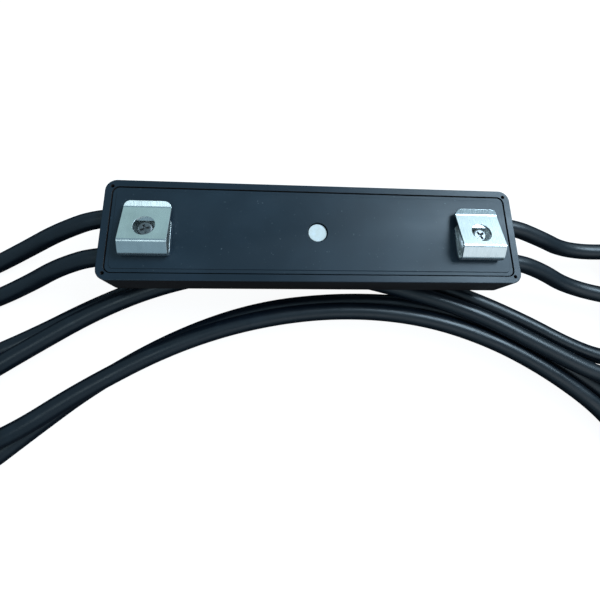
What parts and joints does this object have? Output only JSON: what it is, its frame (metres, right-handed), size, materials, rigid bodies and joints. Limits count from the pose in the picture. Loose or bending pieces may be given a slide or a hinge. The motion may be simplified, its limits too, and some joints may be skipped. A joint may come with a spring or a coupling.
{
  "type": "solar module shutdown box with connector cords",
  "caption": "Slim potted junction box for a solar panel, with folded steel frame clips, short input cords and long output cords that end in latching single-pole connectors.",
  "frame": {"origin": "centre of the box that holds the housing and its clips, 9.75 mm above the housing's flat back face", "axes": "+X along the housing's long side, +Y across it towards the clips' open lips, +Z out of the lid"},
  "size_m": [0.414, 0.1249, 0.0329],
  "materials": {
    "housing_plastic": "satin",
    "lid_plastic": "satin",
    "spring_steel": "brushed",
    "screw_steel": "satin",
    "brass": "satin",
    "white_membrane": "matte",
    "seal_rubber": "matte",
    "cable_jacket": "semi-gloss",
    "connector_plastic": "satin",
    "cage_plastic": "satin",
    "tinned_contact": "satin",
    "copper": "satin",
    "board_laminate": "satin",
    "spreader_aluminium": "satin",
    "pad_silicone": "matte",
    "component_plastic": "matte",
    "ferrite": "matte",
    "potting": "matte"
  },
  "bodies": {
    "housing": {"bare_conductors": "copper", "circuit_board": "board_laminate", "clamp_cage_input_negative": "cage_plastic", "clamp_cage_input_positive": "cage_plastic", "clamp_cage_output_negative": "cage_plastic", "clamp_cage_output_positive": "cage_plastic", "connector_body_input_negative": "connector_plastic", "connector_body_input_positive": "connector_plastic", "connector_body_output_negative": "connector_plastic", "connector_body_output_positive": "connector_plastic", "contact_input_negative": "tinned_contact", "contact_input_positive": "tinned_contact", "contact_output_negative": "tinned_contact", "contact_output_positive": "tinned_contact", "controller_chip": "component_plastic", "cord_input_negative": "cable_jacket", "cord_input_positive": "cable_jacket", "cord_output_negative": "cable_jacket", "cord_output_positive": "cable_jacket", "cord_seal_input_negative": "seal_rubber", "cord_seal_input_positive": "seal_rubber", "cord_seal_output_negative": "seal_rubber", "cord_seal_output_positive": "seal_rubber", "film_capacitors": "component_plastic", "grommet_input_negative": "seal_rubber", "grommet_input_positive": "seal_rubber", "grommet_output_negative": "seal_rubber", "grommet_output_positive": "seal_rubber", "heat_spreader": "spreader_aluminium", "housing_tray": "housing_plastic", "inductor_coil": "copper", "inductor_core": "ferrite", "lead_terminals": "copper", "lid_plate": "lid_plastic", "nose_seal_input_positive": "seal_rubber", "nose_seal_output_negative": "seal_rubber", "potting_layer": "potting", "power_switches": "component_plastic", "screw_insert_left": "brass", "screw_insert_right": "brass", "signal_transformer": "component_plastic", "thermal_pad": "pad_silicone", "vent_adhesive_ring": "seal_rubber", "vent_membrane": "white_membrane"},
    "clip_left": {"frame_clip_left": "spring_steel"},
    "screw_left": {"clip_screw_left": "screw_steel", "clip_washer_left": "screw_steel"},
    "clip_right": {"frame_clip_right": "spring_steel"},
    "screw_right": {"clip_screw_right": "screw_steel", "clip_washer_right": "screw_steel"},
    "nut_output_positive": {"gland_nut_output_positive": "connector_plastic"},
    "nut_output_negative": {"gland_nut_output_negative": "connector_plastic"},
    "nut_input_positive": {"gland_nut_input_positive": "connector_plastic"},
    "nut_input_negative": {"gland_nut_input_negative": "connector_plastic"}
  },
  "joints": [
    {"name": "clip_left_swivel", "type": "hinge", "parent": "housing", "child": "clip_left", "pos_m": [-0.0592, -0.0011, 0.00475], "axis": [0, 0, 1], "range_deg": [-20, 20]},
    {"name": "clip_left_screw_turn", "type": "hinge", "parent": "housing", "child": "screw_left", "pos_m": [-0.0592, -0.0011, 0.00475], "axis": [0, 0, 1], "continuous": true},
    {"name": "clip_right_swivel", "type": "hinge", "parent": "housing", "child": "clip_right", "pos_m": [0.0592, -0.0011, 0.00475], "axis": [0, 0, 1], "range_deg": [-20, 20]},
    {"name": "clip_right_screw_turn", "type": "hinge", "parent": "housing", "child": "screw_right", "pos_m": [0.0592, -0.0011, 0.00475], "axis": [0, 0, 1], "continuous": true},
    {"name": "gland_nut_output_positive_turn", "type": "hinge", "parent": "housing", "child": "nut_output_positive", "pos_m": [-0.16379, -0.07839, -0.01315], "axis": [-0.8944, -0.4472, 0], "continuous": true},
    {"name": "gland_nut_output_negative_turn", "type": "hinge", "parent": "housing", "child": "nut_output_negative", "pos_m": [-0.171, -0.0546, -0.01315], "axis": [-0.9988, -0.0499, 0], "continuous": true},
    {"name": "gland_nut_input_positive_turn", "type": "hinge", "parent": "housing", "child": "nut_input_positive", "pos_m": [0.14599, 0.0012, -0.01355], "axis": [0.9948, 0.1023, 0], "continuous": true},
    {"name": "gland_nut_input_negative_turn", "type": "hinge", "parent": "housing", "child": "nut_input_negative", "pos_m": [0.14299, -0.02192, -0.01355], "axis": [0.9938, -0.1111, 0], "continuous": true}
  ]
}
